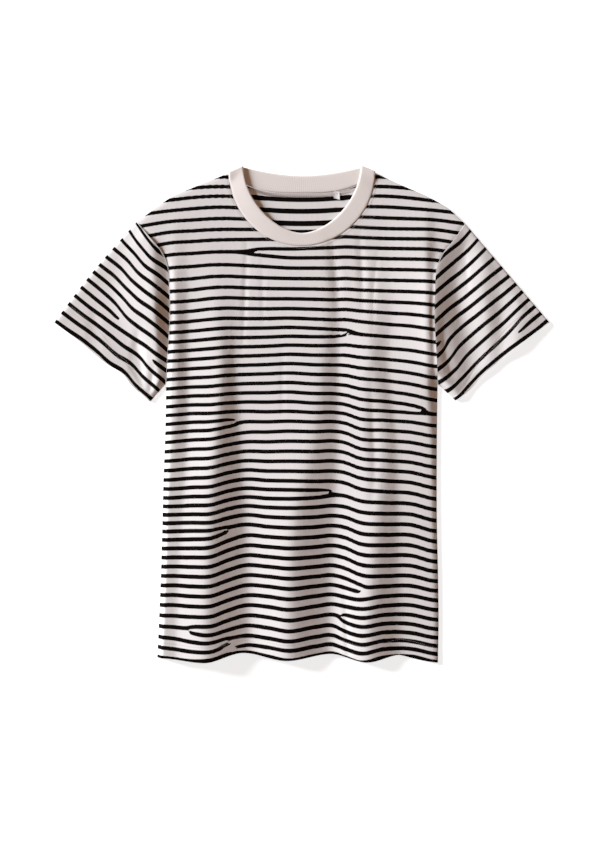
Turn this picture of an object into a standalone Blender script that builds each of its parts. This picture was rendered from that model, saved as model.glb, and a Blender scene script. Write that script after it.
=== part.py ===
"""A striped crew-neck T-shirt, laid out face up on a flat surface.

Metres, +Z up. +Y runs from the hem to the neck and +X to the right of the picture, which is the
wearer's left. The origin is under the middle of the shirt's outline, on the surface it lies on.

Every piece of cloth is a wall lofted between an outer and an inner sheet of points. Both sheets
are worked out from the outline and from the folds named below.
"""

from collections import namedtuple

import bpy
import numpy as np

# ---- Sizes of the shirt, in metres ------------------------------------------------------------

JERSEY = 0.0013  # thickness of the jersey wall
RIB = 0.0022  # the neck rib is folded double
SEAM_GAP = 0.0003  # between two pieces that are sewn together
STACK = 2 * JERSEY + SEAM_GAP  # the front lying straight on the back

NECK_POINT = (0.107, 0.3525)  # neck seam at the shoulder fold, as the first of SHOULDER
NECK_SEAM_Y = 0.2455  # neck seam at the centre front
NECK_SEAM_POWER = 1.97
BACK_SEAM_Y = 0.3225  # neck seam at the centre back
BACK_SEAM_POWER = 3.2

RIB_POINT = (0.0858, 0.3612)  # free edge of the rib at the shoulder fold
RIB_FRONT_Y = 0.2645  # free edge at the centre front
RIB_FRONT_POWER = 1.75
RIB_BACK_Y = 0.3487  # free edge at the centre back
RIB_BACK_POWER = 1.8

# Each half of the outline, as distances from the centre line and heights.
SHOULDER = {
    "left": [(0.107, 0.3525), (0.150, 0.3350), (0.192, 0.3165), (0.216, 0.3000), (0.241, 0.2810)],
    "right": [(0.107, 0.3525), (0.146, 0.3345), (0.186, 0.3168), (0.213, 0.3010), (0.238, 0.2785)],
}
ARMHOLE = {
    "left": [(0.241, 0.2810), (0.222, 0.2580), (0.206, 0.2390), (0.197, 0.2200), (0.1935, 0.1880),
             (0.193, 0.1400), (0.1955, 0.0950), (0.1985, 0.0440)],
    "right": [(0.238, 0.2785), (0.221, 0.2540), (0.205, 0.2335), (0.1965, 0.2130),
              (0.194, 0.1800), (0.193, 0.1400), (0.1955, 0.0950), (0.198, 0.0440)],
}
SIDE_SEAM = {
    "left": [(0.1985, 0.044), (0.1995, -0.020), (0.2025, -0.100), (0.2045, -0.180),
             (0.2075, -0.270), (0.2112, -0.3545)],
    "right": [(0.198, 0.044), (0.197, -0.040), (0.197, -0.150), (0.199, -0.250),
              (0.1995, -0.300), (0.1985, -0.3620)],
}
# The cuffs, from the fold along the sleeve's top to the seam under the arm.
CUFF = {
    "left": [(0.3617, 0.1344), (0.3233, 0.1054), (0.2868, 0.0748), (0.2602, 0.0574),
             (0.2480, 0.0413), (0.2215, 0.0183)],
    "right": [(0.3614, 0.1344), (0.3372, 0.1170), (0.2921, 0.0815), (0.2648, 0.0571),
              (0.2440, 0.0350), (0.2240, 0.0200)],
}
SLEEVE_BULGE = {"left": 0.0035, "right": 0.0}  # of the fold along its top, at its middle
# Each hem, as x and y of its high and low points. The front's low points are its folds' crests.
HEM = {
    "front": [(-0.2112, -0.3545), (-0.1417, -0.3612), (-0.0862, -0.3475), (-0.0219, -0.3585),
              (0.0423, -0.3493), (0.0949, -0.3610), (0.1446, -0.3505), (0.1985, -0.3620)],
    "back": [(-0.2112, -0.3545), (-0.1200, -0.3470), (0.1200, -0.3485), (0.1985, -0.3620)],
}
MIRROR = {"left": -1.0, "right": 1.0}

# ---- How high the cloth stands ----------------------------------------------------------------

LOFT = 0.0034  # air under the front, away from its edges
LOFT_RUN = 0.011  # how quickly the front rises from an edge
FOLD_EDGE = 0.022  # the folds die out over this distance from the front's edges
FOLD_END = 8.0  # and past a crest's ends, over its length divided by this
ARMHOLE_RISE = 0.0045  # the front's armhole edge stands this much above the stack
RISE_BELOW = (0.044, 0.080)  # the heights between which that rise begins, at the underarm
RISE_ABOVE = (0.235, 0.2785)  # and ends, at the shoulder
SLEEVE_HEIGHT = 0.0036  # top of a sleeve at its seams
SLEEVE_LOFT = 0.0052  # air in a sleeve, on top of that
SLEEVE_RISE = (0.08, 0.5)  # shares of its length between which a sleeve fills out
SLEEVE_FULLNESS = 0.7  # power of the sine across a sleeve: the smaller, the boxier it is
SLEEVE_START = 1.6 * SEAM_GAP  # from the armhole seam to a sleeve's first ring
SLEEVE_SQUARENESS = 30  # power of the curve that rounds a sleeve's two folded edges
SLEEVE_VALLEY = 0.09  # share of its length over which it comes down from the armhole seam
EDGE_MIDDLE = 0.0017  # height of the outermost line of a sleeve's fold
RIB_FRONT_HEIGHT = 0.0068  # middle of the rib's wall at the centre front
RIB_POINT_HEIGHT = 0.0044  # and at the shoulder fold, front layer
RIB_RISE = 0.6  # power of the sine by which it rises from one to the other
RIB_BACK_HEIGHT = RIB / 2  # the back layer lies on the surface

Fold = namedtuple("Fold", "name start end left_start left_end right_start right_end "
                          "height_start height_end")
# A fold is a soft ridge. start and end are points on its crest. The rest are how far it reaches
# to the left and right of the crest, and its height, at those two points.
BODY_FOLDS = [
    Fold("left_edge", (-0.191, 0.130), (-0.188, -0.290), 0.014, 0.014, 0.018, 0.016, 0.0030, 0.0008),
    Fold("left", (-0.116, 0.170), (-0.142, -0.363), 0.050, 0.069, 0.014, 0.056, 0.0, 0.0120),
    Fold("middle", (0.034, 0.150), (-0.022, -0.363), 0.060, 0.064, 0.014, 0.064, 0.0, 0.0115),
    Fold("right", (0.126, 0.000), (0.095, -0.363), 0.046, 0.052, 0.014, 0.050, 0.0, 0.0115),
    Fold("right_edge", (0.176, 0.140), (0.191, -0.363), 0.030, 0.052, 0.014, 0.020, 0.0020, 0.0075),
]
SLEEVE_FOLDS = {
    "left": [
        Fold("upper", (-0.236, 0.215), (-0.286, 0.085), 0.030, 0.034, 0.022, 0.026, 0.0015, 0.0050),
        Fold("under", (-0.208, 0.150), (-0.236, 0.035), 0.020, 0.026, 0.014, 0.018, 0.0010, 0.0050),
    ],
    "right": [
        Fold("upper", (0.262, 0.215), (0.300, 0.095), 0.022, 0.026, 0.026, 0.034, 0.0015, 0.0050),
        Fold("under", (0.222, 0.170), (0.248, 0.040), 0.016, 0.022, 0.018, 0.024, 0.0010, 0.0055),
    ],
}

# ---- How finely the walls are divided ----------------------------------------------------------

SHOULDER_STEPS = 8
NECK_STEPS = 24
ARMHOLE_STEPS = 12
BODY_STEPS = 15
BACK_SHOULDER_STEPS = 3
BACK_NECK_STEPS = 16
BACK_BODY_STEPS = 6
SLEEVE_STATIONS = (0.0, 0.02, 0.045, 0.08, 0.13, 0.2, 0.3, 0.4, 0.5, 0.6, 0.7, 0.8, 0.9, 1.0)
RIB_WIDTH_STEPS = 3
RIB_TURN_STEPS = 4
SLEEVE_EDGE = (0.012, 0.04)  # extra stations near a sleeve's folds, as shares of its width
SHOULDER_SHARE = 0.22  # share of a panel's columns that end at one shoulder
HEM_REACH = 0.55  # share of the side seam above which the rows run level
SMOOTH_ANGLE = 0.9

TAB = 0.0010  # the folded tab's thickness
TAB_WIDTH = 0.0095
TAB_LENGTH = 0.0100
TAB_X = 0.0515

COLOURS = {
    "jersey": (0.640, 0.590, 0.570, 1.0),
    "rib": (0.690, 0.610, 0.580, 1.0),
    "tab": (0.800, 0.790, 0.770, 1.0),
}


# ---- Curves ------------------------------------------------------------------------------------

def through(points, shares):
    """Points at the given shares of the chord length, on a smooth curve through these points."""
    points = np.asarray(points, float)
    chords = np.linalg.norm(np.diff(points, axis=0), axis=1)
    knots = np.concatenate([[0.0], np.cumsum(chords)])
    slopes = np.gradient(points, knots, axis=0)
    at = np.clip(np.asarray(shares, float), 0.0, 1.0) * knots[-1]
    i = np.clip(np.searchsorted(knots, at, side="right") - 1, 0, len(chords) - 1)
    span = (knots[i + 1] - knots[i])[:, None]
    t = ((at - knots[i])[:, None]) / span
    return ((2 * t**3 - 3 * t**2 + 1) * points[i] + (t**3 - 2 * t**2 + t) * span * slopes[i]
            + (3 * t**2 - 2 * t**3) * points[i + 1] + (t**3 - t**2) * span * slopes[i + 1])


def scoop(half_width, top, bottom, power, shares):
    """The front's neck curve from left to right: a superellipse hanging from its two ends."""
    turn = np.pi * (1.0 - np.asarray(shares, float))
    across = np.sign(np.cos(turn)) * np.abs(np.cos(turn)) ** (2 / power)
    down = np.abs(np.sin(turn)) ** (2 / power)
    return np.stack([half_width * across, top - (top - bottom) * down], axis=1)


def bow(half_width, top, bottom, power, shares):
    """The back's neck curve from left to right: shallow, and flatter in the middle."""
    across = np.cos(np.pi * (1.0 - np.asarray(shares, float)))
    down = 1.0 - np.abs(across) ** power
    return np.stack([half_width * across, top - (top - bottom) * down], axis=1)


def smoothstep(low, high, value):
    t = np.clip((value - low) / (high - low), 0.0, 1.0)
    return t * t * (3 - 2 * t)


def armhole(side, shares):
    """The armhole seam from the shoulder to the underarm, straight between its stations."""
    stations = np.linspace(0, 1, ARMHOLE_STEPS + 1)
    curve = through(ARMHOLE[side], stations) * (MIRROR[side], 1.0)
    return np.stack([np.interp(shares, stations, curve[:, k]) for k in (0, 1)], axis=1)


def side_seam(side, shares):
    """The side seam from the underarm to the hem."""
    return through(SIDE_SEAM[side], shares) * (MIRROR[side], 1.0)


def shoulder(side, shares):
    """The shoulder fold from the neck point to the armhole."""
    return through(SHOULDER[side], shares) * (MIRROR[side], 1.0)


def edge_distance(x, y):
    """Distance from each point to the nearest side seam, armhole or shoulder."""
    nearest = np.full(np.shape(x), 1.0)
    even = np.linspace(0, 1, ARMHOLE_STEPS + 1)
    for side in MIRROR:
        line = np.concatenate([shoulder(side, even), armhole(side, even), side_seam(side, even)])
        for (ax, ay), (bx, by) in zip(line[:-1], line[1:]):
            length2 = max((bx - ax) ** 2 + (by - ay) ** 2, 1e-12)
            t = np.clip(((x - ax) * (bx - ax) + (y - ay) * (by - ay)) / length2, 0.0, 1.0)
            away = np.hypot(x - ax - t * (bx - ax), y - ay - t * (by - ay))
            nearest = np.minimum(nearest, away)
    return nearest


# ---- Heights -----------------------------------------------------------------------------------

def fold_share(fold, x, y):
    """How much of a fold's full height each point has, and how far along the crest it lies."""
    (ax, ay), (bx, by) = fold.start, fold.end
    length = np.hypot(bx - ax, by - ay)
    along = ((x - ax) * (bx - ax) + (y - ay) * (by - ay)) / length**2
    aside = ((x - ax) * (ay - by) - (y - ay) * (ax - bx)) / length
    t = np.clip(along, 0.0, 1.0)
    left = fold.left_start + (fold.left_end - fold.left_start) * t
    right = fold.right_start + (fold.right_end - fold.right_start) * t
    reach = np.clip(aside / np.where(aside < 0, left, right), -1.0, 1.0)
    past_end = np.clip(1.0 - np.maximum(-along, along - 1.0) * FOLD_END, 0.0, 1.0)
    return 0.5 * (1 + np.cos(np.pi * reach)) * past_end, t


def folds_height(folds, x, y):
    """The folds' heights added up."""
    total = np.zeros(np.shape(x))
    for fold in folds:
        share, t = fold_share(fold, x, y)
        total += share * (fold.height_start + (fold.height_end - fold.height_start) * t)
    return total


def hem_line(panel, x):
    """The height of a hem at each x, easing from one point of its table to the next."""
    table = np.array(HEM[panel])
    i = np.clip(np.searchsorted(table[:, 0], x) - 1, 0, len(table) - 2)
    return table[i, 1] + (table[i + 1, 1] - table[i, 1]) * smoothstep(table[i, 0],
                                                                     table[i + 1, 0], x)


def armhole_rise(y):
    """How far the front's armhole edge stands above the stack, at each y."""
    return ARMHOLE_RISE * smoothstep(*RISE_BELOW, y) * (1 - smoothstep(*RISE_ABOVE, y))


def front_height(x, y):
    """Top of the front panel: it rises from its edges, and carries the folds."""
    away = edge_distance(x, y)
    near = np.exp(-away / LOFT_RUN)
    return (STACK + armhole_rise(y) * near + LOFT * (1 - near)
            + folds_height(BODY_FOLDS, x, y) * smoothstep(0.0, FOLD_EDGE, away))


def sleeve_height(side, x, y, across, along):
    """Top of a sleeve, before its edges are rounded: a valley at the seam, then the loft."""
    middle = np.sin(np.pi * np.clip(across, 0.0, 1.0)) ** SLEEVE_FULLNESS
    rise = smoothstep(*SLEEVE_RISE, along)
    base = SLEEVE_HEIGHT + (SLEEVE_LOFT + folds_height(SLEEVE_FOLDS[side], x, y)) * middle * rise
    seam_y = armhole(side, across)[:, 1]
    at_seam = STACK + armhole_rise(seam_y)
    return base + (at_seam - base) * (1 - smoothstep(0.0, SLEEVE_VALLEY, along))


# ---- Meshes ------------------------------------------------------------------------------------

def material(name):
    made = bpy.data.materials.new(name)
    made.use_nodes = True
    shader = made.node_tree.nodes["Principled BSDF"]
    shader.inputs["Base Color"].default_value = COLOURS[name]
    shader.inputs["Roughness"].default_value = 0.9
    shader.inputs["Metallic"].default_value = 0.0
    return made


def add_object(name, points, faces, cloth, collection):
    mesh = bpy.data.meshes.new(name)
    mesh.from_pydata(points.tolist(), [], faces)
    mesh.materials.append(cloth)
    mesh.shade_smooth()
    mesh.set_sharp_from_angle(angle=SMOOTH_ANGLE)
    made = bpy.data.objects.new(name, mesh)
    collection.objects.link(made)
    return made


def sheet_faces(rows, columns, start, closed_rows=False, closed_columns=False):
    """Quads of a grid of points numbered row by row from start."""
    faces = []
    for i in range(rows if closed_rows else rows - 1):
        for j in range(columns if closed_columns else columns - 1):
            k, m = (i + 1) % rows, (j + 1) % columns
            faces.append((start + i * columns + j, start + i * columns + m,
                          start + k * columns + m, start + k * columns + j))
    return faces


def panel_wall(name, top, under, cloth, collection):
    """A panel: a grid of points on top, another under it, and a rim round both.

    Rows run from the hem up and columns from left to right.
    """
    rows, columns = top.shape[:2]
    count = rows * columns
    faces = sheet_faces(rows, columns, 0)
    faces += [face[::-1] for face in sheet_faces(rows, columns, count)]
    rim = ([j for j in range(columns)] + [i * columns + columns - 1 for i in range(1, rows)]
           + [(rows - 1) * columns + j for j in range(columns - 2, -1, -1)]
           + [i * columns for i in range(rows - 2, 0, -1)])
    for a, b in zip(rim, rim[1:] + rim[:1]):
        faces.append((a, a + count, b + count, b))
    points = np.concatenate([top.reshape(-1, 3), under.reshape(-1, 3)])
    return add_object(name, points, faces, cloth, collection)


def tube_wall(name, outer, inner, cloth, collection):
    """A sleeve: rings of points on the outside, rings inside them, and a rim at each open end."""
    rings, around = outer.shape[:2]
    count = rings * around
    faces = sheet_faces(rings, around, 0, closed_columns=True)
    faces += [face[::-1] for face in sheet_faces(rings, around, count, closed_columns=True)]
    last = (rings - 1) * around
    for j in range(around):
        m = (j + 1) % around
        faces.append((j, j + count, m + count, m))
        faces.append((last + m, last + m + count, last + j + count, last + j))
    points = np.concatenate([outer.reshape(-1, 3), inner.reshape(-1, 3)])
    return add_object(name, points, faces, cloth, collection)


def turn_outwards(made):
    """Reverses a closed mesh whose faces point inwards."""
    mesh = made.data
    volume = 0.0
    for face in mesh.polygons:
        corners = [mesh.vertices[v].co for v in face.vertices]
        for b, c in zip(corners[1:-1], corners[2:]):
            volume += corners[0].dot(b.cross(c))
    if volume < 0:
        mesh.flip_normals()
    return made


# ---- The pieces --------------------------------------------------------------------------------

def panel_plan(panel, neck, shoulder_steps, body_steps):
    """The plan of a body panel as a grid of x, y: rows from the hem to the shoulders and neck."""
    s = np.linspace(0, 1, shoulder_steps + 1)
    n = np.linspace(0, 1, len(neck))
    top = np.concatenate([shoulder("left", s)[::-1], neck[1:-1], shoulder("right", s)])
    neck_share = 1 - 2 * SHOULDER_SHARE
    share = np.concatenate([s * SHOULDER_SHARE, SHOULDER_SHARE + neck_share * n[1:-1],
                            1 - SHOULDER_SHARE + s * SHOULDER_SHARE])[:, None]
    ends = np.linspace(0, 1, ARMHOLE_STEPS + 1)
    left, right = armhole("left", ends)[::-1], armhole("right", ends)[::-1]
    base = left[0] + (right[0] - left[0]) * share
    near_left = np.clip(1 - share / SHOULDER_SHARE, 0.0, 1.0)
    near_right = np.clip(1 - (1 - share) / SHOULDER_SHARE, 0.0, 1.0)
    rows = []
    for g, side_left, side_right in zip(ends, left, right):
        row = base + (top - base) * g
        row = row + near_left * (side_left - row[0]) + near_right * (side_right - row[-1])
        rows.append(row)
    lower = []
    for g in np.linspace(1, 0, body_steps + 1)[:-1]:
        side_left, side_right = side_seam("left", [g])[0], side_seam("right", [g])[0]
        row = side_left + (side_right - side_left) * share
        end_left, end_right = side_seam("left", [1.0])[0], side_seam("right", [1.0])[0]
        level = end_left[1] + (end_right[1] - end_left[1]) * share[:, 0]
        row[:, 1] += (hem_line(panel, row[:, 0]) - level) * smoothstep(HEM_REACH, 1.0, g)
        lower.append(row)
    return np.array(lower + rows)


def front_panel(cloth, collection):
    neck = scoop(*NECK_POINT, NECK_SEAM_Y, NECK_SEAM_POWER, np.linspace(0, 1, NECK_STEPS + 1))
    plan = panel_plan("front", neck, SHOULDER_STEPS, BODY_STEPS)
    height = front_height(plan[..., 0], plan[..., 1])
    top = np.dstack([plan, height])
    under = np.dstack([plan, height - JERSEY])
    return panel_wall("front", top, under, cloth, collection)


def back_panel(cloth, collection):
    neck = bow(*NECK_POINT, BACK_SEAM_Y, BACK_SEAM_POWER, np.linspace(0, 1, BACK_NECK_STEPS + 1))
    plan = panel_plan("back", neck, BACK_SHOULDER_STEPS, BACK_BODY_STEPS)
    flat = np.zeros(plan.shape[:2])
    return panel_wall("back", np.dstack([plan, flat + JERSEY]), np.dstack([plan, flat]),
                      cloth, collection)


def sleeve(side, cloth, collection):
    """A flattened tube from the armhole to the cuff, folded along its top edge."""
    stations = np.linspace(0, 1, ARMHOLE_STEPS + 1)
    across = np.unique(np.concatenate([stations, SLEEVE_EDGE, 1 - np.array(SLEEVE_EDGE)]))
    sign = MIRROR[side]
    start = armhole(side, across) + (sign * SLEEVE_START, 0.0)
    cuff = through(CUFF[side], across) * (sign, 1.0)
    inset = JERSEY / np.linalg.norm(cuff[-1] - cuff[0])
    fold = cuff[0] - start[0]
    bulge = SLEEVE_BULGE[side] * np.array([-fold[1], fold[0]]) * sign / np.linalg.norm(fold)
    outer, inner = [], []
    for s in SLEEVE_STATIONS:
        line = start + (cuff - start) * s
        line = line + bulge * np.sin(np.pi * s) * (1 - across[:, None]) ** 2
        inside = np.stack([np.interp(inset + (1 - 2 * inset) * across, across, line[:, k])
                           for k in (0, 1)], axis=1)
        height = sleeve_height(side, line[:, 0], line[:, 1], across, s)
        rounding = np.sqrt(1 - np.abs(2 * across - 1) ** SLEEVE_SQUARENESS)
        top = EDGE_MIDDLE + (height - EDGE_MIDDLE) * rounding
        bottom = EDGE_MIDDLE * (1 - rounding)
        open_gap = SEAM_GAP * np.minimum(1.0, np.minimum(across, 1 - across) / SLEEVE_EDGE[0])
        lining_top = np.maximum(top - JERSEY, EDGE_MIDDLE + open_gap)
        lining_bottom = np.minimum(bottom + JERSEY, EDGE_MIDDLE - open_gap)
        outer.append(np.concatenate([np.column_stack([line, top]),
                                     np.column_stack([line, bottom])[-2:0:-1]]))
        inner.append(np.concatenate([np.column_stack([inside, lining_top]),
                                     np.column_stack([inside, lining_bottom])[-2:0:-1]]))
    made = tube_wall("sleeve_" + side, np.array(outer), np.array(inner), cloth, collection)
    return turn_outwards(made)


def rib_sections():
    """Seam edge, free edge, height and way up of the rib's wall, all the way round the neck."""
    front = np.linspace(0, 1, NECK_STEPS + 1)
    back = np.linspace(1, 0, BACK_NECK_STEPS + 1)
    (seam_x, seam_y), (free_x, free_y) = NECK_POINT, RIB_POINT
    gap = SEAM_GAP
    seam_front = scoop(seam_x - gap, seam_y, NECK_SEAM_Y + gap, NECK_SEAM_POWER, front)
    free_front = scoop(free_x, free_y, RIB_FRONT_Y, RIB_FRONT_POWER, front)
    seam_back = bow(seam_x - gap, seam_y + gap, BACK_SEAM_Y + gap, BACK_SEAM_POWER, back)
    free_back = bow(free_x, free_y, RIB_BACK_Y, RIB_BACK_POWER, back)
    rise = np.sin(np.pi * front) ** RIB_RISE
    height_front = RIB_POINT_HEIGHT + (RIB_FRONT_HEIGHT - RIB_POINT_HEIGHT) * rise
    radius = (RIB_POINT_HEIGHT - RIB_BACK_HEIGHT) / 2
    sections = [(a, b, h, 0.0) for a, b, h in zip(seam_front, free_front, height_front)]
    turns = np.linspace(0, np.pi, RIB_TURN_STEPS + 2)[1:-1]
    sections += [(seam_front[-1], free_front[-1], RIB_BACK_HEIGHT + radius, a) for a in turns]
    sections += [(a, b, RIB_BACK_HEIGHT, np.pi) for a, b in zip(seam_back, free_back)]
    sections += [(seam_front[0], free_front[0], RIB_BACK_HEIGHT + radius, np.pi - a)
                 for a in turns]
    return sections, radius


def neck_rib(cloth, collection):
    """One closed band: over the front, round each shoulder fold, and along the inside back."""
    sections, radius = rib_sections()
    rings = []
    for seam, free, height, turn in sections:
        along = (free - seam) / np.linalg.norm(free - seam)
        out = np.array([-along[1], along[0]]) * (1.0 if seam[0] < 0 else -1.0)
        turning = 0.0 < turn < np.pi
        shift = out * radius * np.sin(turn) if turning else np.zeros(2)
        lift = radius * np.cos(turn) if turning else 0.0
        face = np.append(out * np.sin(turn), np.cos(turn))
        line = seam + (free - seam) * np.linspace(0, 1, RIB_WIDTH_STEPS + 1)[:, None] + shift
        middle = np.column_stack([line, np.full(len(line), height + lift)])
        outside, inside = middle + face * RIB / 2, middle - face * RIB / 2
        rings.append(np.concatenate([outside, inside[::-1]]))
    rings = np.array(rings)
    count, around = rings.shape[:2]
    faces = sheet_faces(count, around, 0, closed_rows=True, closed_columns=True)
    made = add_object("neck_rib", rings.reshape(-1, 3), faces, cloth, collection)
    return turn_outwards(made)


def size_tab(cloth, collection):
    """The blank folded tab caught in the back neck seam, hanging down inside the shirt."""
    seam = bow(*NECK_POINT, BACK_SEAM_Y, BACK_SEAM_POWER, np.linspace(0, 1, BACK_NECK_STEPS + 1))
    across = TAB_X + TAB_WIDTH * np.array([-0.5, 0.5])
    top = np.interp(across, seam[:, 0], seam[:, 1]) - SEAM_GAP
    plan = np.array([[(across[0], top[0] - TAB_LENGTH), (across[1], top[1] - TAB_LENGTH)],
                     [(across[0], top[0]), (across[1], top[1])]])
    low = np.full(plan.shape[:2], JERSEY + SEAM_GAP)
    return panel_wall("size_tab", np.dstack([plan, low + TAB]), np.dstack([plan, low]),
                      cloth, collection)


def main():
    for old in list(bpy.data.objects):
        bpy.data.objects.remove(old)
    shirt = bpy.data.collections.new("t_shirt")
    bpy.context.scene.collection.children.link(shirt)
    cloths = {name: material(name) for name in COLOURS}
    back_panel(cloths["jersey"], shirt)
    front_panel(cloths["jersey"], shirt)
    for side in MIRROR:
        sleeve(side, cloths["jersey"], shirt)
    neck_rib(cloths["rib"], shirt)
    size_tab(cloths["tab"], shirt)


main()
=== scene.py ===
"""A striped crew-neck T-shirt laid flat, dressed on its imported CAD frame.

An add-on for the 3D view: one operator makes each group of cloth pieces, one the stitching and
one the stage. Run as a script it registers itself and runs them all. Metres, +Z up, +Y towards
the neck, +X to the right of the picture.
"""

from collections import namedtuple

import bpy
import numpy as np
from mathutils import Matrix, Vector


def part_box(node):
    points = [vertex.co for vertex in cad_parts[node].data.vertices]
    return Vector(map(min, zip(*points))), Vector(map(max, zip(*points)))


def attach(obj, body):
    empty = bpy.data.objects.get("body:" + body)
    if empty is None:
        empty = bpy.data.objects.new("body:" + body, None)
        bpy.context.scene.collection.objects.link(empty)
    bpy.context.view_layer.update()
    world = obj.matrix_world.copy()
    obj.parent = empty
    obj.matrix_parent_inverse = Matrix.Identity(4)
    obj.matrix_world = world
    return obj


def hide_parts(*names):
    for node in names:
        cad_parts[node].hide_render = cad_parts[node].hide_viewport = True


bl_info = {
    "name": "Striped T-shirt laid flat",
    "version": (1, 0, 0),
    "blender": (4, 5, 0),
    "location": "3D View > Sidebar > T-shirt",
    "description": "Builds a striped crew-neck T-shirt, laid out flat, on its CAD frame",
    "category": "Mesh",
}

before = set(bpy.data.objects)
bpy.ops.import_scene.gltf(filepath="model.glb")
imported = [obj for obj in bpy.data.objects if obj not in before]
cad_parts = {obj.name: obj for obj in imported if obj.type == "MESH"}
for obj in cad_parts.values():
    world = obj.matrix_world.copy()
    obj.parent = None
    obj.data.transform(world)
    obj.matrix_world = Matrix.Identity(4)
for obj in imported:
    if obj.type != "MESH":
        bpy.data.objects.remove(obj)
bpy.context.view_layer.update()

# ---- Outline, as cut and laid out, in metres ---------------------------------------------------

NECK_POINT = (0.107, 0.3525)
NECK_SEAM_Y, NECK_SEAM_POWER = 0.2455, 1.97
BACK_SEAM_Y, BACK_SEAM_POWER = 0.3225, 3.2
RIB_POINT = (0.0858, 0.3612)
RIB_FRONT_Y, RIB_FRONT_POWER = 0.2645, 1.75
RIB_BACK_Y, RIB_BACK_POWER = 0.3487, 1.8
SHOULDER = {
    "left": [(0.107, 0.3525), (0.150, 0.3350), (0.192, 0.3165), (0.216, 0.3000), (0.241, 0.2810)],
    "right": [(0.107, 0.3525), (0.146, 0.3345), (0.186, 0.3168), (0.213, 0.3010), (0.238, 0.2785)],
}
ARMHOLE = {
    "left": [(0.241, 0.2810), (0.222, 0.2580), (0.206, 0.2390), (0.197, 0.2200), (0.1935, 0.1880),
             (0.193, 0.1400), (0.1955, 0.0950), (0.1985, 0.0440)],
    "right": [(0.238, 0.2785), (0.221, 0.2540), (0.205, 0.2335), (0.1965, 0.2130),
              (0.194, 0.1800), (0.193, 0.1400), (0.1955, 0.0950), (0.198, 0.0440)],
}
SIDE_SEAM = {
    "left": [(0.1985, 0.044), (0.1995, -0.020), (0.2025, -0.100), (0.2045, -0.180),
             (0.2075, -0.270), (0.2112, -0.3545)],
    "right": [(0.198, 0.044), (0.197, -0.040), (0.197, -0.150), (0.199, -0.250),
              (0.1995, -0.300), (0.1985, -0.3620)],
}
CUFF = {
    "left": [(0.3617, 0.1344), (0.3233, 0.1054), (0.2868, 0.0748), (0.2602, 0.0574),
             (0.2480, 0.0413), (0.2215, 0.0183)],
    "right": [(0.3614, 0.1344), (0.3372, 0.1170), (0.2921, 0.0815), (0.2648, 0.0571),
              (0.2440, 0.0350), (0.2240, 0.0200)],
}
SLEEVE_BULGE = {"left": 0.0035, "right": 0.0}
HEM = {
    "front": [(-0.2112, -0.3545), (-0.1417, -0.3612), (-0.0862, -0.3475), (-0.0219, -0.3585),
              (0.0423, -0.3493), (0.0949, -0.3610), (0.1446, -0.3505), (0.1985, -0.3620)],
    "back": [(-0.2112, -0.3545), (-0.1200, -0.3470), (0.1200, -0.3485), (0.1985, -0.3620)],
}
MIRROR = {"left": -1.0, "right": 1.0}
SHOULDER_SHARE = 0.22  # share of a body panel's lines that run up to each shoulder
HEM_REACH = 0.55  # the rows bend to the hem from this share of the side seam on
SEAM_GAP = 0.0003
ARMHOLE_GAP = 1.6 * SEAM_GAP

# ---- How high the cloth stands -----------------------------------------------------------------

STACK = 0.0029  # the front's top beside its seams
EDGE_TOP = 0.0020  # the front's cloth at a side seam, where it turns down to the back's
EDGE_ROUND = 0.003  # over this distance from the seam
EDGE_SHARE = 0.25  # share of its height that the front has at the seam itself
LOFT, LOFT_RUN = 0.0006, 0.012  # away from its seams the front lies so much higher
FOLD_FADE = (0.0, 0.008)  # the folds rise and the creases sink over these distances from a seam
CREASE_FADE = (0.004, 0.012)
CREASE_ROUND, CREASE_NARROWER = 0.02, 1.02  # how round a crease's bottom is
ARMHOLE_RISE = {"left": 0.0024, "right": 0.0070}  # the front's edge stands up there
ARMHOLE_RISE_ENDS = (0.030, 0.080, 0.180, 0.245)  # from nothing to all of it and back, along y
EDGE_MIDDLE = 0.0017  # half the height of a sleeve's folded edges
SLEEVE_LEAST = 0.0022  # a sleeve's top layer lies at least so high, over its lower layer
SLEEVE_LEAST_TURN = 0.0008
SLEEVE_EDGES = (0.10, 0.93)  # shares across a sleeve between which it has its full height
SLEEVE_CREASE_FADE = 0.06  # share of a sleeve's length over which its creases begin
SLEEVE_ROUNDNESS, RIB_ROUNDNESS = 30, 14  # powers: the higher, the sharper the cloth's edges
LINING_EDGE = 0.012  # share across a sleeve over which its two inner sides part
# share of the front's neck curve from left to right, height of the neck band's free edge there
RIB_FREE_HEIGHTS = [(0.0, 0.0046), (0.05, 0.0052), (0.15, 0.0051), (0.3, 0.0048), (0.5, 0.0042),
                    (0.9, 0.0038), (1.0, 0.0046)]
RIB_POINT_HEIGHT = 0.0046
RIB_STEP = (-0.0003, 0.0007)  # how far the band stands above the front at the left and the right
RIB_BACK_HEIGHT = 0.0011
RIB_WIDTH = 0.02
RIB_ENDS = 0.06  # share of the neck curve over which the band comes down from the neck points
SHARP_ANGLE = 0.9  # two faces that meet at more than this are shaded apart
HEM_DEPTH, HEM_STEP = 0.020, 0.001  # the turned-up hem, and half the width of its step
HEM_RAISED, HEM_THICKER = 0.0003, 0.6

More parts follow.
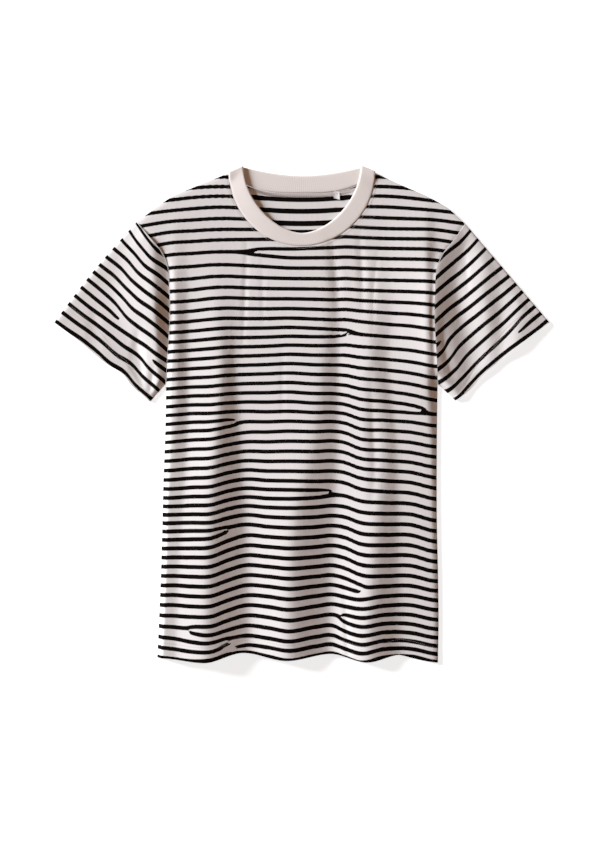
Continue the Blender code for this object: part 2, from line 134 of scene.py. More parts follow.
# Lines that run down the cloth, listed from left to right, each from the top down as (across,
# along, height, turn) in millimetres: between two lines the cloth is a straight flank, and at a
# line its slope changes over the distance "turn".
BODY_LINES = {
    "left_edge": [(-195.7, 306, 0, 4), (-197.2, 225.6, 1, 4), (-198.6, 123.4, 2.1, 4),
                  (-203, -95.7, 7.3, 4), (-207.4, -270.9, 10.1, 4), (-210.3, -358.5, 10.1, 4)],
    "left_crest": [(-185.5, 306, 0, 3), (-185.5, 254.8, 1.2, 3), (-182.5, 167.2, 2.9, 3),
                   (-182.5, 79.6, 4.2, 3), (-186.9, -37.2, 7.3, 3), (-198.6, -154.1, 9.6, 3),
                   (-203, -256.3, 10.9, 3), (-204.5, -358.5, 10.9, 3)],
    "left_trough": [(-167.9, 306, 0, 4), (-167.9, 254.8, 0.4, 4), (-166.5, 167.2, 0.7, 4),
                    (-166.5, 79.6, 0.7, 4), (-166.5, -37.2, 3.9, 4), (-173.8, -154.1, 8.1, 4),
                    (-181.1, -256.3, 9.4, 4), (-182.5, -358.5, 9.6, 4)],
    "left_ridge": [(-128.5, 291.3, 0, 8), (-128.5, 225.6, 0.8, 8), (-125.6, 167.2, 3.5, 8),
                   (-118.3, 79.6, 7, 7), (-125.6, -37.2, 11.4, 7), (-134.4, -154.1, 15.3, 8),
                   (-138.7, -270.9, 17.2, 9), (-140.2, -358.5, 17.7, 10)],
    "left_foot": [(-93.5, 291.3, 0, 8), (-93.5, 225.6, 0.3, 8), (-93.5, 167.2, 1.6, 7),
                  (-96.4, 79.6, 1.3, 5), (-90.5, -37.2, 1.7, 5), (-81.8, -154.1, 2.3, 7),
                  (-77.4, -270.9, 3, 8), (-75.9, -358.5, 3.1, 8)],
    "middle_ridge": [(23.4, 306, 0, 6), (29.2, 254.8, 1.2, 6), (35, 167.2, 2.9, 6),
                     (30.7, 79.6, 5.7, 7), (16.1, -37.2, 8.1, 10), (-11.7, -154.1, 12.1, 10),
                     (-19, -270.9, 13.9, 10), (-20.4, -358.5, 14.4, 11)],
    "middle_foot": [(42.4, 306, 0, 4), (46.7, 254.8, 0.4, 4), (52.6, 167.2, 1, 4),
                    (52.6, 79.6, 1.3, 4), (52.6, -37.2, 1.2, 5), (46.7, -154.1, 0.4, 7),
                    (42.4, -270.9, 0, 8), (40.9, -358.5, 0, 8)],
    "right_ridge": [(96.4, 276.7, 0, 8), (96.4, 225.6, 0.8, 8), (102.2, 167.2, 3.1, 8),
                    (99.3, 79.6, 6.2, 7), (111, -37.2, 6.8, 8), (108.1, -154.1, 8.6, 9),
                    (97.8, -270.9, 11.4, 10), (94.9, -358.5, 12.5, 11)],
    "right_foot": [(125.6, 276.7, 0, 8), (125.6, 225.6, 0.3, 8), (131.4, 167.2, 1.6, 7),
                   (125.6, 79.6, 1.6, 6), (137.3, -37.2, 1.3, 5), (140.2, -154.1, 1.3, 6),
                   (141.7, -270.9, 0.8, 8), (143.1, -358.5, 0.7, 9)],
    "right_crest": [(181.1, 313.3, 0, 3), (181.1, 254.8, 2.6, 3), (181.1, 167.2, 5.7, 3),
                    (182.5, 79.6, 5.5, 3), (184, 21.2, 3.9, 3), (186.9, -37.2, 2.2, 3),
                    (188.4, -154.1, 1.7, 4), (188.4, -249, 1.2, 4), (189.9, -358.5, 0.9, 4)],
    "right_edge": [(194.2, 291.3, 0, 3), (194.2, 123.4, 0, 3), (195.7, 21.2, 0, 3),
                   (197.2, -95.7, 0.8, 3), (198.6, -270.9, 1, 3), (198.6, -358.5, 0.9, 3)],
}
SLEEVE_LINES = {
    "left": {
        "foot": [(-257, 260.7, 4, 5), (-268.7, 203.7, 3, 8), (-274.6, 152.6, 3, 9),
                 (-249.7, 101.5, 2.6, 6), (-236.6, 43.1, 2.4, 5)],
        "crest": [(-217.6, 260.7, 8.2, 3), (-216.1, 211, 9.6, 5), (-214.7, 152.6, 12.6, 4),
                  (-211.8, 101.5, 10, 4), (-210.3, 43.1, 7, 4)],
        "seam": [(-201.5, 260.7, 3.4, 2), (-197.2, 211, 4.6, 2), (-194.2, 152.6, 4.4, 2),
                 (-194.2, 43.1, 3.4, 2)],
    },
    "right": {
        "seam": [(224.9, 260.7, 5.8, 3), (201.5, 222.7, 8.2, 3), (194.2, 152.6, 11.6, 3),
                 (194.2, 35.8, 11.2, 3)],
        "foot": [(245.3, 260.7, 3, 5), (230.7, 222.7, 2.2, 6), (230.7, 152.6, 1.8, 6),
                 (246.8, 94.2, 1, 7), (251.2, 35.8, 1, 7)],
        "crest": [(271.6, 240.2, 6.4, 6), (262.9, 196.4, 7.8, 8), (270.2, 138, 8.4, 8),
                  (273.1, 101.5, 5.6, 8), (273.1, 50.4, 4.8, 8)],
        "trough": [(290.6, 222.7, 4.6, 6), (287.7, 189.1, 4.6, 6), (290.6, 138, 4, 6),
                   (289.2, 84, 3.6, 6)],
        "outer_crest": [(312.5, 193.5, 4.6, 6), (315.4, 152.6, 7, 6), (312.5, 101.5, 7.6, 6)],
        "outer": [(333, 181.8, 4, 6), (354.9, 138, 3.6, 6)],
    },
}
# A crease is a sharp trough along a bent line, listed from the top down, in millimetres. It
# reaches so far to the left and the right of its line, and is so deep, at the line's start,
# middle and end.
Crease = namedtuple("Crease", "name line left right depth")
BODY_CREASES = [
    Crease("middle_neck", [(44, 250), (50, 200), (53, 150)], (12, 14, 10), (10, 12, 10),
           (0.6, 1.2, 0.3)),
    Crease("right_short", [(100, 60), (104, -20), (105, -100), (101, -130)], (14, 16, 12),
           (18, 24, 18), (0.5, 2.4, 0.5)),
    Crease("right_chest", [(84, 262), (88, 200), (88, 150)], (10, 12, 9), (9, 10, 9),
           (0.4, 1.1, 0.3)),
    Crease("right_side", [(112, 240), (106, 200), (104, 120)], (10, 12, 10), (6, 6, 6),
           (0.2, 0.6, 0.2)),
    Crease("left_chest", [(-80, 250), (-84, 140), (-86, 95)], (8, 9, 7), (6, 6, 6),
           (0.3, 0.8, 0.3)),
    Crease("left_inner", [(-58, 225), (-56, 130)], (6, 8, 6), (5, 5, 5), (0.2, 0.5, 0.2)),
    Crease("waist", [(-28, 95), (-28, 0)], (8, 8, 8), (6, 6, 6), (0.2, 0.5, 0.2)),
    Crease("hem_tuck", [(61, -258), (63, -300), (66, -350)], (4, 4, 4), (10, 10, 10),
           (0.3, 0.9, 0.6)),
]
SLEEVE_CREASES = {
    "left": [
        Crease("upper", [(-303, 150), (-304, 95)], (14, 14, 14), (12, 14, 14), (0.4, 1.8, 2)),
        Crease("middle", [(-240, 120), (-243, 80), (-244, 45)], (10, 11, 12), (16, 18, 20),
               (0.6, 3.4, 3.6)),
        Crease("under", [(-216, 70), (-221, 35)], (10, 11, 12), (10, 10, 10), (0.5, 1.8, 1.8)),
    ],
    "right": [
        Crease("streak", [(238, 235), (243, 180)], (12, 14, 12), (6, 6, 6), (0.4, 1, 0.4)),
        Crease("under", [(206, 130), (210, 85), (218, 60)], (12, 14, 12), (14, 14, 14),
               (0.6, 1.4, 1)),
    ],
}

# ---- The stripes -------------------------------------------------------------------------------
# Each chart holds how far, in millimetres, the cloth's stripes have been drawn down from an even
# repeat, at stations across it (columns) and along it (rows).

Fork = namedtuple("Fork", "across along sign taper")
Chart = namedtuple("Chart", "repeat start columns rows drawn forks")
FRONT_CHART = Chart(
    repeat=0.0141, start=-0.357,
    columns=(-235, -190, -160, -132, -108, -84, -50, -20, 20, 46, 62, 84, 120, 160, 190, 235),
    rows=(-362, -325, -270, -195, -112, -30, 50, 130, 195, 240, 275, 315),
    drawn=[
        (6.8, 10.6, 13.1, 10.6, 1.2, -0.8, 6.7, 12.6, 6.0, 2.6, 7.3, 15.5, 7.5, 6.4, 15.8, 23.9),
        (8.7, 11.9, 15.5, 16.3, 8.0, 2.3, 6.0, 11.1, 5.8, 3.8, 10.6, 17.2, 12.3, 14.8, 22.7, 25.7),
        (9.3, 8.5, 11.7, 12.5, 5.7, -0.1, 2.1, 6.5, 4.2, 3.8, 9.0, 16.6, 16.3, 17.3, 24.3, 26.8),
        (10.6, 9.2, 10.0, 9.9, 2.2, -3.1, 0.1, 3.4, 3.0, 1.7, 5.0, 13.7, 15.8, 16.9, 25.3, 27.3),
        (13.1, 14.0, 12.0, 10.7, 3.9, -0.4, 1.7, 2.4, 2.4, 1.5, 3.3, 9.9, 13.3, 15.8, 22.7, 26.4),
        (14.2, 11.3, 8.5, 7.6, 3.3, 0.0, 0.4, -0.4, 0.4, -0.4, 2.0, 10.6, 13.2, 16.5, 21.8, 23.2),
        (13.9, 12.0, 9.0, 7.2, 4.1, 2.2, 0.5, -1.2, 0.4, 0.3, 1.2, 5.3, 7.6, 11.7, 16.5, 16.8),
        (10.6, 10.0, 7.2, 3.9, 1.8, 1.5, 0.4, -1.3, -1.2, -1.4, -2.4, -0.7, 0.9, 2.3, 5.1, 7.7),
        (5.8, 2.7, 0.1, -3.2, -4.5, -4.3, -4.1, -4.3, -5.1, -5.5, -6.5, -6.0, -5.9, -6.0, -5.4,
         -0.8),
        (1.5, -6.3, -8.2, -10.0, -10.7, -10.8, -10.5, -9.5, -10.8, -11.9, -12.9, -12.5, -11.8,
         -11.6, -11.1, -5.5),
        (-2.5, -8.9, -10.6, -12.2, -12.7, -12.4, -12.5, -13.3, -14.5, -15.7, -16.7, -15.8,
         -14.4, -13.8, -13.3, -8.0),
        (-8.8, -12.7, -16.0, -17.9, -18.1, -16.8, -16.2, -16.9, -18.1, -19.2, -19.5, -19.2,
         -19.6, -16.9, -13.5, -9.9),
    ],
    forks=[
        Fork(-0.1615, -0.3145, 1, 1.4), Fork(0.0590, -0.2945, 1, 1.2),
        Fork(0.0855, -0.2555, -1, 1.0), Fork(-0.1110, -0.1685, -1, 2.6),
        Fork(0.0380, -0.1135, -1, 3.5), Fork(-0.0995, -0.0105, -1, 2.0),
        Fork(0.1740, 0.0055, -1, 3.5), Fork(0.0610, 0.1175, -1, 3.6),
        Fork(-0.0660, 0.2375, 1, 5.0), Fork(-0.1045, -0.3315, -1, 2.0),
        Fork(-0.0995, -0.3395, 1, 4.2),
    ],
)
# A sleeve's columns run along the cuff from the fold on top, its rows inwards from the cuff.
SLEEVE_COLUMNS = (0, 25, 50, 75, 100, 125, 150, 176, 200)
SLEEVE_ROWS = (0, 22, 50, 80, 110, 140, 172)
SLEEVE_CHART = {
    "left": Chart(
        repeat=0.0156, start=0.004, columns=SLEEVE_COLUMNS, rows=SLEEVE_ROWS,
        drawn=[
            (2.8, 1.2, -1.5, -1.5, -0.4, -3.8, 0.4, 0.5, -1.0),
            (2.0, 1.3, 0.0, 0.0, 1.0, -2.7, -0.2, -0.6, 0.9),
            (2.2, 2.4, 1.5, 2.1, 2.0, 0.3, 1.8, 0.5, 3.3),
            (2.0, 1.9, 2.5, 6.3, 4.5, 3.3, 5.6, 7.9, 7.5),
            (5.2, 4.3, 7.1, 7.9, 5.6, 6.0, 7.3, 10.2, 11.8),
            (4.9, 5.6, 10.0, 8.6, 8.4, 9.5, 10.9, 13.0, 15.3),
            (1.7, 9.1, 13.3, 10.0, 12.1, 13.2, 14.6, 16.2, 18.3),
        ],
        forks=[Fork(0.0715, 0.0645, -1, 2.0), Fork(0.1455, 0.0495, 1, 1.5)],
    ),
    "right": Chart(
        repeat=0.0156, start=0.004, columns=SLEEVE_COLUMNS, rows=SLEEVE_ROWS,
        drawn=[
            (0.0, 0.7, -1.2, -2.3, -2.4, -2.2, 1.1, 4.1, -3.0),
            (-0.1, -0.9, 1.0, 1.0, 0.8, 1.6, 3.9, 3.7, -4.8),
            (2.1, 2.6, 3.2, 1.7, 1.1, 0.7, 4.1, 1.8, -3.4),
            (4.4, 3.6, 2.3, 1.5, 0.3, 0.9, 3.3, -0.9, -2.2),
            (4.0, 3.2, 3.1, 2.9, 1.7, 3.3, 5.1, 2.1, -0.1),
            (-0.3, 1.7, 2.8, 2.1, 2.6, 3.1, 4.4, 4.1, 3.0),
            (-3.3, 0.4, -0.1, 1.9, 4.0, 4.3, 4.7, 5.5, 6.2),
        ],
        forks=[Fork(0.0455, 0.0185, -1, 3.0), Fork(0.1405, 0.0795, 1, 1.5)],
    ),
}
# A sleeve's chart starts at its cuff's top corner; its two directions are those of the cuff and
# of the fold along its top.
SLEEVE_AXES = {
    "left": ((-0.3617, 0.1344), (0.772, -0.636), (0.636, 0.772)),
    "right": ((0.3614, 0.1344), (-0.767, -0.642), (-0.642, 0.767)),
}
# On the back: stripes counted from the hem, and how much the stripes bow up towards the sides.
BACK_STRIPES = [(-0.357, 0.0), (-0.100, 18.2), (0.150, 36.0), (0.2668, 44.0), (0.2792, 45.0),
                (0.2965, 46.0), (0.3134, 47.0), (0.3520, 49.4)]
BACK_BOW = 0.78  # metres of rise for each square metre from the centre line
BACK_BOW_LIMIT = 0.006  # square metres, past which they bow up no further

# The stripes' width beside the front's: on the back, on the sleeves and, as a surplus, at the hem.
BACK_STRIPES_WIDER = 1.25
SLEEVE_STRIPES_WIDER = 1.31
LOWER_STRIPES, LOWER_STRIPES_FADE = 0.11, (-0.20, 0.0)
# A stripe keeps its width while the stripes lie closer together or further apart than the even
# repeat by shares between these.
STRIPE_CLOSENESS = (0.60, 1.25)

# ---- Sewing, tab, finish and stage -------------------------------------------------------------

STITCH_SHARE = 0.72  # of a stitch's length that the thread shows
STITCH_FOOT, STITCH_ARCH = 0.2, 1.4  # in thread radii, its ends' height and its middle's rise
STITCH_END = 0.45  # share of its thickness that it has at its ends
NECK_STITCHES = 0.0028  # how far outside the neck seam its stitches run
HEM_STITCHES = (0.0185, 0.0225)  # how far inside the hem its two rows run
CUFF_STITCHES = (0.0200, 0.0240)
HEM_STITCH_ENDS = 0.004
THREAD_LIFT = 0.0001
# The covered seam inside the back's neck: a row of thick slanted stitches.
BACK_ROW = {"pitch": 0.0034, "share": 0.55, "radius": 0.00055, "slant": 1.6}
BACK_ROW_LIFT = 0.0002
TAB_WIDTH = 0.85  # share of its solid's width
TAB_SHORTER, TAB_INSET = 0.001, 0.0006  # its lower end and its top, inside its solid
TAB_BEND, TAB_RISE = 0.00035, 0.0004  # radius of its fold, and its rise down its length
TAB_LIFTS = (0.0009, 0.00095, 0.0002)  # its upper layer, its fold and its lower layer
TAB_SLANT, TAB_CURL, TAB_THICK = 0.0012, 0.0003, 0.00018
COURSE_SHARE, FUZZ_SHARE = 0.5, 1.2  # relief of the courses and the fuzz beside the wales'
STRIPE_EDGE, STRIPE_RAGGED = (-0.03, 0.15), 0.16  # in the stripes' turn: softness and raggedness
MOTTLE_SCALE = (620.0, 22.0, 22.0)  # the light cloth's mottling is drawn out along y
# Painted shade: the rib knit's colour is darkened to this share in the grooves between its ribs.
RIB_GROOVE_SHADE = 0.90  # how bright the rib knit is between its ribs
PLAIN_CLOTHS = {  # colour, scale of the grain
    "shirt_thread": ((0.26, 0.23, 0.22), 1500.0),
    "shirt_tab": ((0.80, 0.79, 0.77), 900.0),
}
KEY_COLOUR = (0.97, 1.0, 1.04)
KEY_ANGLE = 0.28  # how wide the key light's source is
FILL_COLOUR = (1.0, 0.50, 0.26, 1.0)  # the warm light in the shadows
FLOOR_SIZE = 4.0
FLOOR = {"Base Color": (0.93, 0.93, 0.93, 1.0), "Emission Color": (0.95, 0.985, 1.0, 1.0),
         "Emission Strength": 0.72}
CAMERA_LENS, CAMERA_PLACE = 86.70, (-0.0029, -0.0175, 3.0)

# ---- How finely the cloth is divided -----------------------------------------------------------

FRONT_DIVISIONS = {"shoulder": 38, "neck": 88, "armhole": 84, "body": 138}
BACK_DIVISIONS = {"shoulder": 16, "neck": 60, "armhole": 60, "body": 90}
SLEEVE_DIVISIONS = (84, 72)  # across, along
SLEEVE_CROWDING = 1.3  # a power: the higher, the closer its rings stand by the armhole
RIB_DIVISIONS = {"front": 150, "back": 100, "turn": 10, "across": 12}


class ShirtProperties(bpy.types.PropertyGroup):
    """The shirt's measures and colours, and the light on it"""
    jersey: bpy.props.FloatProperty(
        name="Jersey", description="Thickness of the jersey", default=0.0009, unit="LENGTH")
    rib: bpy.props.FloatProperty(
        name="Rib", description="Thickness of the doubled neck rib", default=0.0020,
        unit="LENGTH")
    thread: bpy.props.FloatProperty(
        name="Thread", description="Radius of the sewing thread", default=0.00014,
        unit="LENGTH")
    stitch: bpy.props.FloatProperty(
        name="Stitch", description="Length of one stitch, with the gap after it",
        default=0.0031, unit="LENGTH")
    stripe: bpy.props.FloatProperty(
        name="Stripe", description="Width of a black stripe", default=0.0060, unit="LENGTH")
    light: bpy.props.FloatVectorProperty(
        name="Light cloth", description="Colour between the stripes", subtype="COLOR",
        default=(0.705, 0.662, 0.650))
    dark: bpy.props.FloatVectorProperty(
        name="Stripes", description="Colour of the stripes", subtype="COLOR",
        default=(0.0016, 0.0012, 0.0011))
    collar: bpy.props.FloatVectorProperty(
        name="Neck rib", description="Colour of the neck rib", subtype="COLOR",
        default=(0.800, 0.705, 0.660))
    sun: bpy.props.FloatProperty(
        name="Key light", description="Strength of the key light", default=9.9)
    sun_height: bpy.props.FloatProperty(
        name="Key height", description="Angle of the key light above the floor",
        default=0.24, unit="ROTATION")
    sun_side: bpy.props.FloatProperty(
        name="Key side", description="Angle of the key light from the picture's left to its top",
        default=0.42, unit="ROTATION")
    sky: bpy.props.FloatProperty(
        name="Fill light", description="Strength of the even light all round", default=0.12)
    tone: bpy.props.FloatProperty(
        name="Tone", description="Gamma of the picture: above 1 its light parts lie closer",
        default=1.4)


# ---- Curves ------------------------------------------------------------------------------------

def through(knots, values, at):
    """A smooth curve through the values at the knots: on each span the cubic whose ends have
    the slopes of the neighbouring knots. Outside the knots it keeps its end value."""
    knots = np.asarray(knots, float)
    values = np.asarray(values, float)
    slopes = np.gradient(values, knots, axis=0)
    at = np.clip(np.asarray(at, float), knots[0], knots[-1])
    i = np.clip(np.searchsorted(knots, at, side="right") - 1, 0, len(knots) - 2)
    span = (knots[i + 1] - knots[i])[:, None]
    t = (at - knots[i])[:, None] / span
    return ((2 * t**3 - 3 * t**2 + 1) * values[i] + (t**3 - 2 * t**2 + t) * span * slopes[i]
            + (3 * t**2 - 2 * t**3) * values[i + 1] + (t**3 - t**2) * span * slopes[i + 1])


def along_points(points, shares):
    """The smooth curve through these points, at shares of its chord length."""
    points = np.asarray(points, float)
    chords = np.linalg.norm(np.diff(points, axis=0), axis=1)
    knots = np.concatenate([[0.0], np.cumsum(chords)])
    return through(knots, points, np.asarray(shares, float) * knots[-1])


def scoop(half_width, top, bottom, power, shares):
    """The front's neck curve: a superellipse hanging from its two ends."""
    turn = np.pi * (1.0 - np.asarray(shares, float))
    across = np.sign(np.cos(turn)) * np.abs(np.cos(turn)) ** (2 / power)
    down = np.abs(np.sin(turn)) ** (2 / power)
    return np.stack([half_width * across, top - (top - bottom) * down], axis=1)


def bow(half_width, top, bottom, power, shares):
    """The back's neck curve: its depth falls off as a power of the distance from the middle."""
    across = np.cos(np.pi * (1.0 - np.asarray(shares, float)))
    down = 1.0 - np.abs(across) ** power
    return np.stack([half_width * across, top - (top - bottom) * down], axis=1)


def smoothstep(low, high, value):
    """0 below low, 1 above high, and a smooth cubic between."""
    t = np.clip((value - low) / (high - low), 0.0, 1.0)
    return t * t * (3 - 2 * t)


def seam(table, side, shares):
    """One of the outline's seams on one side, at shares of its length."""
    return along_points(table[side], shares) * (MIRROR[side], 1.0)


def beside(lines, x, y):
    """For each point the distance to the nearest of these bent lines, below 0 on its right,
    and the share of the way along that line."""
    nearest = np.full(np.shape(x), np.inf)
    share = np.zeros(np.shape(x))
    for line in lines:
        line = np.asarray(line, float)
        steps = np.hypot(*np.diff(line, axis=0).T)
        run = np.concatenate([[0.0], np.cumsum(steps)])
        for k, step in enumerate(steps):
            (ax, ay), (bx, by) = line[k], line[k + 1]
            t = np.clip(((x - ax) * (bx - ax) + (y - ay) * (by - ay)) / step**2, 0.0, 1.0)
            away = np.hypot(x - ax - t * (bx - ax), y - ay - t * (by - ay))
            side = np.where((bx - ax) * (y - ay) - (by - ay) * (x - ax) < 0, -1.0, 1.0)
            closer = away < np.abs(nearest)
            nearest = np.where(closer, away * side, nearest)
            share = np.where(closer, (run[k] + t * step) / run[-1], share)
    return nearest, share


def hem_at(panel_name, x):
    """How far along the cloth a body panel's hem lies at x: smooth steps between its points."""
    table = np.array(HEM[panel_name])
    i = np.clip(np.searchsorted(table[:, 0], x) - 1, 0, len(table) - 2)
    ease = smoothstep(table[i, 0], table[i + 1, 0], x)
    return table[i, 1] + (table[i + 1, 1] - table[i, 1]) * ease


def doubled(inset):
    """1 where the cloth is turned up, so far inside its hem, and 0 beyond."""
    return 1 - smoothstep(HEM_DEPTH - HEM_STEP, HEM_DEPTH + HEM_STEP, inset)


def outline_lines():
    """The shoulders, armholes and side seams, as bent lines."""
    even = np.linspace(0, 1, 25)
    return [seam(table, side, even) for table in (SHOULDER, ARMHOLE, SIDE_SEAM) for side in MIRROR]


# ---- Heights -----------------------------------------------------------------------------------

def lines_height(lines, x, y):
    """Height of the straight flanks between lines that run down the cloth. Going from left to
    right, each line adds its change of slope times the rounded distance past it, which is
    (t + the root of t squared plus the turn squared) / 2."""
    placed = []
    for line in lines.values():
        across, along, height, turn = np.array(line).T / 1000
        placed.append(through(-along, np.stack([across, height, turn], axis=1), -y))
    across, height, turn = np.array(placed).transpose(2, 0, 1)
    slope = np.diff(height, axis=0) / np.diff(across, axis=0)
    flat = np.zeros((1, len(x)))
    change = np.diff(np.concatenate([flat, slope, flat]), axis=0)
    past = x - across
    return height[0] + np.sum(change * (past + np.sqrt(past**2 + turn**2)) / 2, axis=0)


def creases_depth(creases, x, y):
    """The creases' depths added up; across its line a crease is a trough whose flanks are
    parabolas, (1 - r) squared, with a rounded bottom. A line runs down the picture, so that its
    own left is the picture's right."""
    stations = (0.0, 0.5, 1.0)
    total = np.zeros(np.shape(x))
    for crease in creases:
        line = along_points(crease.line, np.linspace(0, 1, 4 * len(crease.line) - 3))
        aside, share = beside([line], 1000 * x, 1000 * y)
        reach = np.where(aside > 0, np.interp(share, stations, crease.right),
                         np.interp(share, stations, crease.left))
        across = np.minimum(np.abs(aside) / reach, 1.0)
        rounded = np.sqrt(across**2 + CREASE_ROUND) - CREASE_ROUND**0.5
        total += (np.interp(share, stations, crease.depth)
                  * np.maximum(1 - CREASE_NARROWER * rounded, 0.0) ** 2)
    return total / 1000


def armhole_rise(x, y):
    """How far the front's armhole edge stands above the stack, at each place."""
    rise = np.where(x < 0, ARMHOLE_RISE["left"], ARMHOLE_RISE["right"])
    low, high = ARMHOLE_RISE_ENDS[:2], ARMHOLE_RISE_ENDS[2:]
    return rise * smoothstep(*low, y) * (1 - smoothstep(*high, y))


def front_height(x, y):
    """Top of the front: it turns down at its edges, rises from them, and carries the folds."""
    away = np.abs(beside(outline_lines(), x, y)[0])
    near = np.exp(-away / LOFT_RUN)
    rise = smoothstep(*FOLD_FADE, away)
    height = (STACK + armhole_rise(x, y) * near + LOFT * (1 - near)
              + lines_height(BODY_LINES, x, y) * rise
              - creases_depth(BODY_CREASES, x, y) * smoothstep(*CREASE_FADE, away))
    turn = np.sqrt(1 - np.clip(1 - away / EDGE_ROUND, 0.0, 1.0) ** 2)
    at_edge = EDGE_TOP + armhole_rise(x, y)
    return at_edge + (height - at_edge) * (EDGE_SHARE + (1 - EDGE_SHARE) * turn)


def sleeve_length(side):
    """The length of a sleeve from the middle of its armhole to the middle of its cuff."""
    return np.linalg.norm(seam(CUFF, side, [0.5]) - seam(ARMHOLE, side, [0.5]))


def sleeve_surface(side, across, along):
    """Plan and top height of a sleeve. Its lines run straight from the armhole to the cuff, and
    bulge a little by the fold on top. From the seam it dips, then rises to its own height."""
    sign = MIRROR[side]
    start = seam(ARMHOLE, side, across) + (sign * ARMHOLE_GAP, 0.0)
    cuff = seam(CUFF, side, across)
    fold = (cuff - start)[:1]
    bulge = SLEEVE_BULGE[side] * np.stack([-fold[:, 1], fold[:, 0]], axis=1) * sign
    bulge = bulge / np.linalg.norm(fold)
    plan = (start + (cuff - start) * along
            + bulge * np.sin(np.pi * along) * (1 - across[:, None]) ** 2)
    x, y = plan.T
    height = (lines_height(SLEEVE_LINES[side], x, y)
              - creases_depth(SLEEVE_CREASES[side], x, y)
              * smoothstep(0.0, SLEEVE_CREASE_FADE, along))
    spare = height - SLEEVE_LEAST
    height = SLEEVE_LEAST + 0.5 * (spare + np.sqrt(spare**2 + SLEEVE_LEAST_TURN**2))
    flat = 2 * EDGE_MIDDLE
    middle = np.minimum(smoothstep(0.0, SLEEVE_EDGES[0], across),
                        1 - smoothstep(SLEEVE_EDGES[1], 1.0, across))
    return plan, flat + (height - flat) * middle


# ---- Stripes -----------------------------------------------------------------------------------

def stripe_count(chart, across, along):
    """Stripes counted from the chart's start: the even repeat, the drawn cloth, and a turn of
    one stripe round each fork, drawn out to a taper."""
    column = through(np.array(chart.columns) / 1000, np.eye(len(chart.columns)), across)
    row = through(np.array(chart.rows) / 1000, np.eye(len(chart.rows)), along)
    drawn = np.einsum("ni,ij,nj->n", row, np.array(chart.drawn) / 1000, column)
    count = (along - chart.start + drawn) / chart.repeat
    for fork in chart.forks:
        turn = np.arctan2((across - fork.across) / fork.taper, fork.along - along)
        count = count + fork.sign * turn / (2 * np.pi)
    return count


def stripe_values(counted, x, y, repeat, black):
    """For each point the cosine and sine of the stripes' turn there, and the turn at which a
    stripe of an even width ends: it is larger where the stripes lie closer together."""
    step = 0.0004
    closer = counted(x, y + step) - counted(x, y - step)
    closer = np.abs(closer - np.round(closer)) / (2 * step)
    fewest, most = STRIPE_CLOSENESS
    turn = 2 * np.pi * counted(x, y)
    half = np.pi * black * np.clip(closer, fewest / repeat, most / repeat)
    return np.stack([np.cos(turn), np.sin(turn), half], axis=1)


def front_stripes(x, y):
    """The front's stripe count at each place in plan."""
    return stripe_count(FRONT_CHART, x, y)


def sleeve_stripes(side):
    """A function for one sleeve's stripe count at each place in plan."""
    (ox, oy), (wx, wy), (ux, uy) = SLEEVE_AXES[side]
    chart = SLEEVE_CHART[side]
    return lambda x, y: stripe_count(chart, (x - ox) * wx + (y - oy) * wy,
                                     (x - ox) * ux + (y - oy) * uy)


def back_stripes(x, y):
    """The back's stripe count: its own table along it, bowed up towards the sides."""
    table = np.array(BACK_STRIPES)
    bowed = y - BACK_BOW * np.minimum(x * x, BACK_BOW_LIMIT)
    return through(table[:, 0], table[:, 1:], bowed)[:, 0]


# ---- Meshes ------------------------------------------------------------------------------------

def grid_quads(rows, columns, closed_rows=False, closed_columns=False):
    """Corners of a grid's quads, with the points numbered row by row."""
    i = np.arange(rows if closed_rows else rows - 1)[:, None]
    j = np.arange(columns if closed_columns else columns - 1)[None, :]
    k, m = (i + 1) % rows, (j + 1) % columns
    quads = [i * columns + j, i * columns + m, k * columns + m, k * columns + j]
    return np.stack([np.broadcast_to(q, np.broadcast(i, j).shape) for q in quads], axis=-1)


def make_object(name, points, quads, cloth, stripes=None, flat=None):
    """One object from a grid of points. stripes holds each point's stripe values, kept as an
    attribute. flat holds the cloth's own two coordinates, kept as a UV map."""
    mesh = bpy.data.meshes.new(name)
    mesh.from_pydata(points, [], quads)
    if stripes is not None:
        layer = mesh.attributes.new("stripe", "FLOAT_VECTOR", "POINT")
        layer.data.foreach_set("vector", stripes.astype(np.float32).ravel())
    if flat is not None:
        corners = np.empty(len(mesh.loops), np.int32)
        mesh.loops.foreach_get("vertex_index", corners)
        layer = mesh.uv_layers.new(name="cloth")
        layer.uv.foreach_set("vector", flat[corners].astype(np.float32).ravel())
    mesh.shade_smooth()
    mesh.set_sharp_from_angle(angle=SHARP_ANGLE)
    mesh.materials.append(cloth)
    made = bpy.data.objects.new(name, mesh)
    bpy.context.scene.collection.objects.link(made)
    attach(made, "root")
    return made


def outward(points, quads):
    """The quads, reversed if the closed surface that they make has its faces inwards."""
    a, b, c, d = (points[quads[:, k]] for k in range(4))
    volume = np.einsum("ni,ni->", a, np.cross(b, c)) + np.einsum("ni,ni->", a, np.cross(c, d))
    return quads if volume > 0 else quads[:, ::-1]


def panel(name, top, under, cloth, stripes, flat):
    """A closed shell: the top's grid, the under's grid reversed, and a rim round both."""
    rows, columns = top.shape[:2]
    count = rows * columns
    sheet = grid_quads(rows, columns).reshape(-1, 4)
    rim = np.concatenate([np.arange(columns), np.arange(1, rows) * columns + columns - 1,
                          (rows - 1) * columns + np.arange(columns - 2, -1, -1),
                          np.arange(rows - 2, 0, -1) * columns])
    after = np.roll(rim, -1)
    edge = np.stack([rim, rim + count, after + count, after], axis=1)
    points = np.concatenate([top.reshape(-1, 3), under.reshape(-1, 3)])
    quads = outward(points, np.concatenate([sheet, sheet[:, ::-1] + count, edge]))
    if stripes is not None:
        stripes = np.tile(stripes, (2, 1))
    return make_object(name, points, quads, cloth, stripes, np.tile(flat, (2, 1)))


